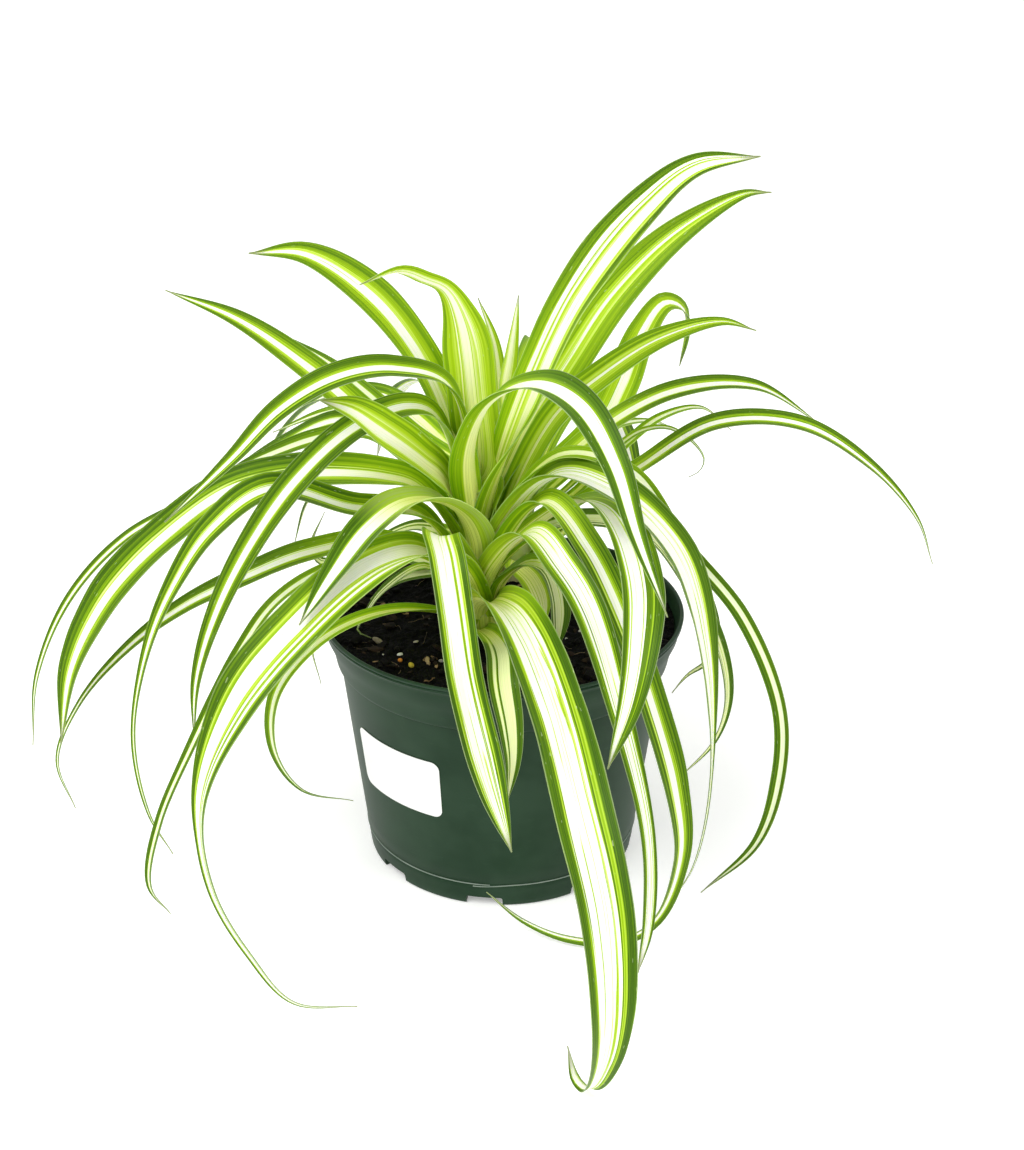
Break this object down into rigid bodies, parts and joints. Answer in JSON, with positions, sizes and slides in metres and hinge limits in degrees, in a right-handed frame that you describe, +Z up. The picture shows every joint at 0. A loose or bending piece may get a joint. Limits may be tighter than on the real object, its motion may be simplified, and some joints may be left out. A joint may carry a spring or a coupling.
{
  "type": "potted spider plant",
  "caption": "Spider plant with long arching striped leaves growing from its crowns, in a tapered round plastic nursery pot of soil, with a bare label on the pot's wall.",
  "frame": {"origin": "centre of the pot's flat base, on the surface that the plant stands on", "axes": "+Z up along the pot's axis, -Y to the front, the side with the label on its left, and +X to the right seen from the front"},
  "size_m": [0.4275, 0.4038, 0.332],
  "materials": {
    "pot": "matte moulded plastic, dark green",
    "soil": "moist dark peat with bark chips",
    "label": "matte white label stock",
    "crown": "satin pale green leaf bases",
    "leaf": "satin striped green and white"
  },
  "bodies": {
    "root": {"pot": "pot", "soil": "soil", "label": "label", "crown_front": "crown", "crown_back": "crown", "leaf_right_tall": "leaf", "leaf_right_tall_rear": "leaf", "leaf_right_middle": "leaf", "leaf_front_arch": "leaf", "leaf_right_long": "leaf", "leaf_right_far": "leaf", "leaf_right_hanging": "leaf", "leaf_right_front_long": "leaf", "leaf_right_floor": "leaf", "leaf_right_reaching": "leaf", "leaf_right_rear_arch": "leaf", "leaf_rear_folded": "leaf", "leaf_right_curled": "leaf", "leaf_right_hanging_rear": "leaf", "leaf_rear_slim_high": "leaf", "leaf_rear_slim_low": "leaf", "leaf_right_slim_curl": "leaf", "leaf_rear_low_right": "leaf", "leaf_upright_pale": "leaf", "leaf_left_tall": "leaf", "leaf_upright_folded": "leaf", "leaf_upright_short": "leaf", "leaf_upright_rear": "leaf", "leaf_left_upper": "leaf", "leaf_left_upper_rear": "leaf", "leaf_left_arch": "leaf", "leaf_left_inner_arch": "leaf", "leaf_left_wide": "leaf", "leaf_left_hooked": "leaf", "leaf_left_short_arch": "leaf", "leaf_left_far": "leaf", "leaf_left_slim": "leaf", "leaf_left_recurved": "leaf", "leaf_front_left_folded": "leaf", "leaf_front_folded": "leaf", "leaf_front_short": "leaf", "leaf_front_long": "leaf", "leaf_front_left_long": "leaf", "leaf_left_over_rim": "leaf", "leaf_left_low_long": "leaf", "leaf_left_low_slim": "leaf", "leaf_left_dipping": "leaf", "leaf_left_rear_low": "leaf", "leaf_left_rear_hanging": "leaf", "leaf_left_tip_up": "leaf", "leaf_centre_dipping": "leaf", "leaf_left_soil_rear": "leaf", "leaf_centre_rear_dipping": "leaf", "leaf_left_far_low": "leaf", "leaf_rear_right_falling": "leaf", "leaf_rear_centre": "leaf", "leaf_rear_centre_low": "leaf", "leaf_rear_left_falling": "leaf", "leaf_rear_left_wide": "leaf", "leaf_rear_left_low": "leaf"}
  },
  "joints": []
}
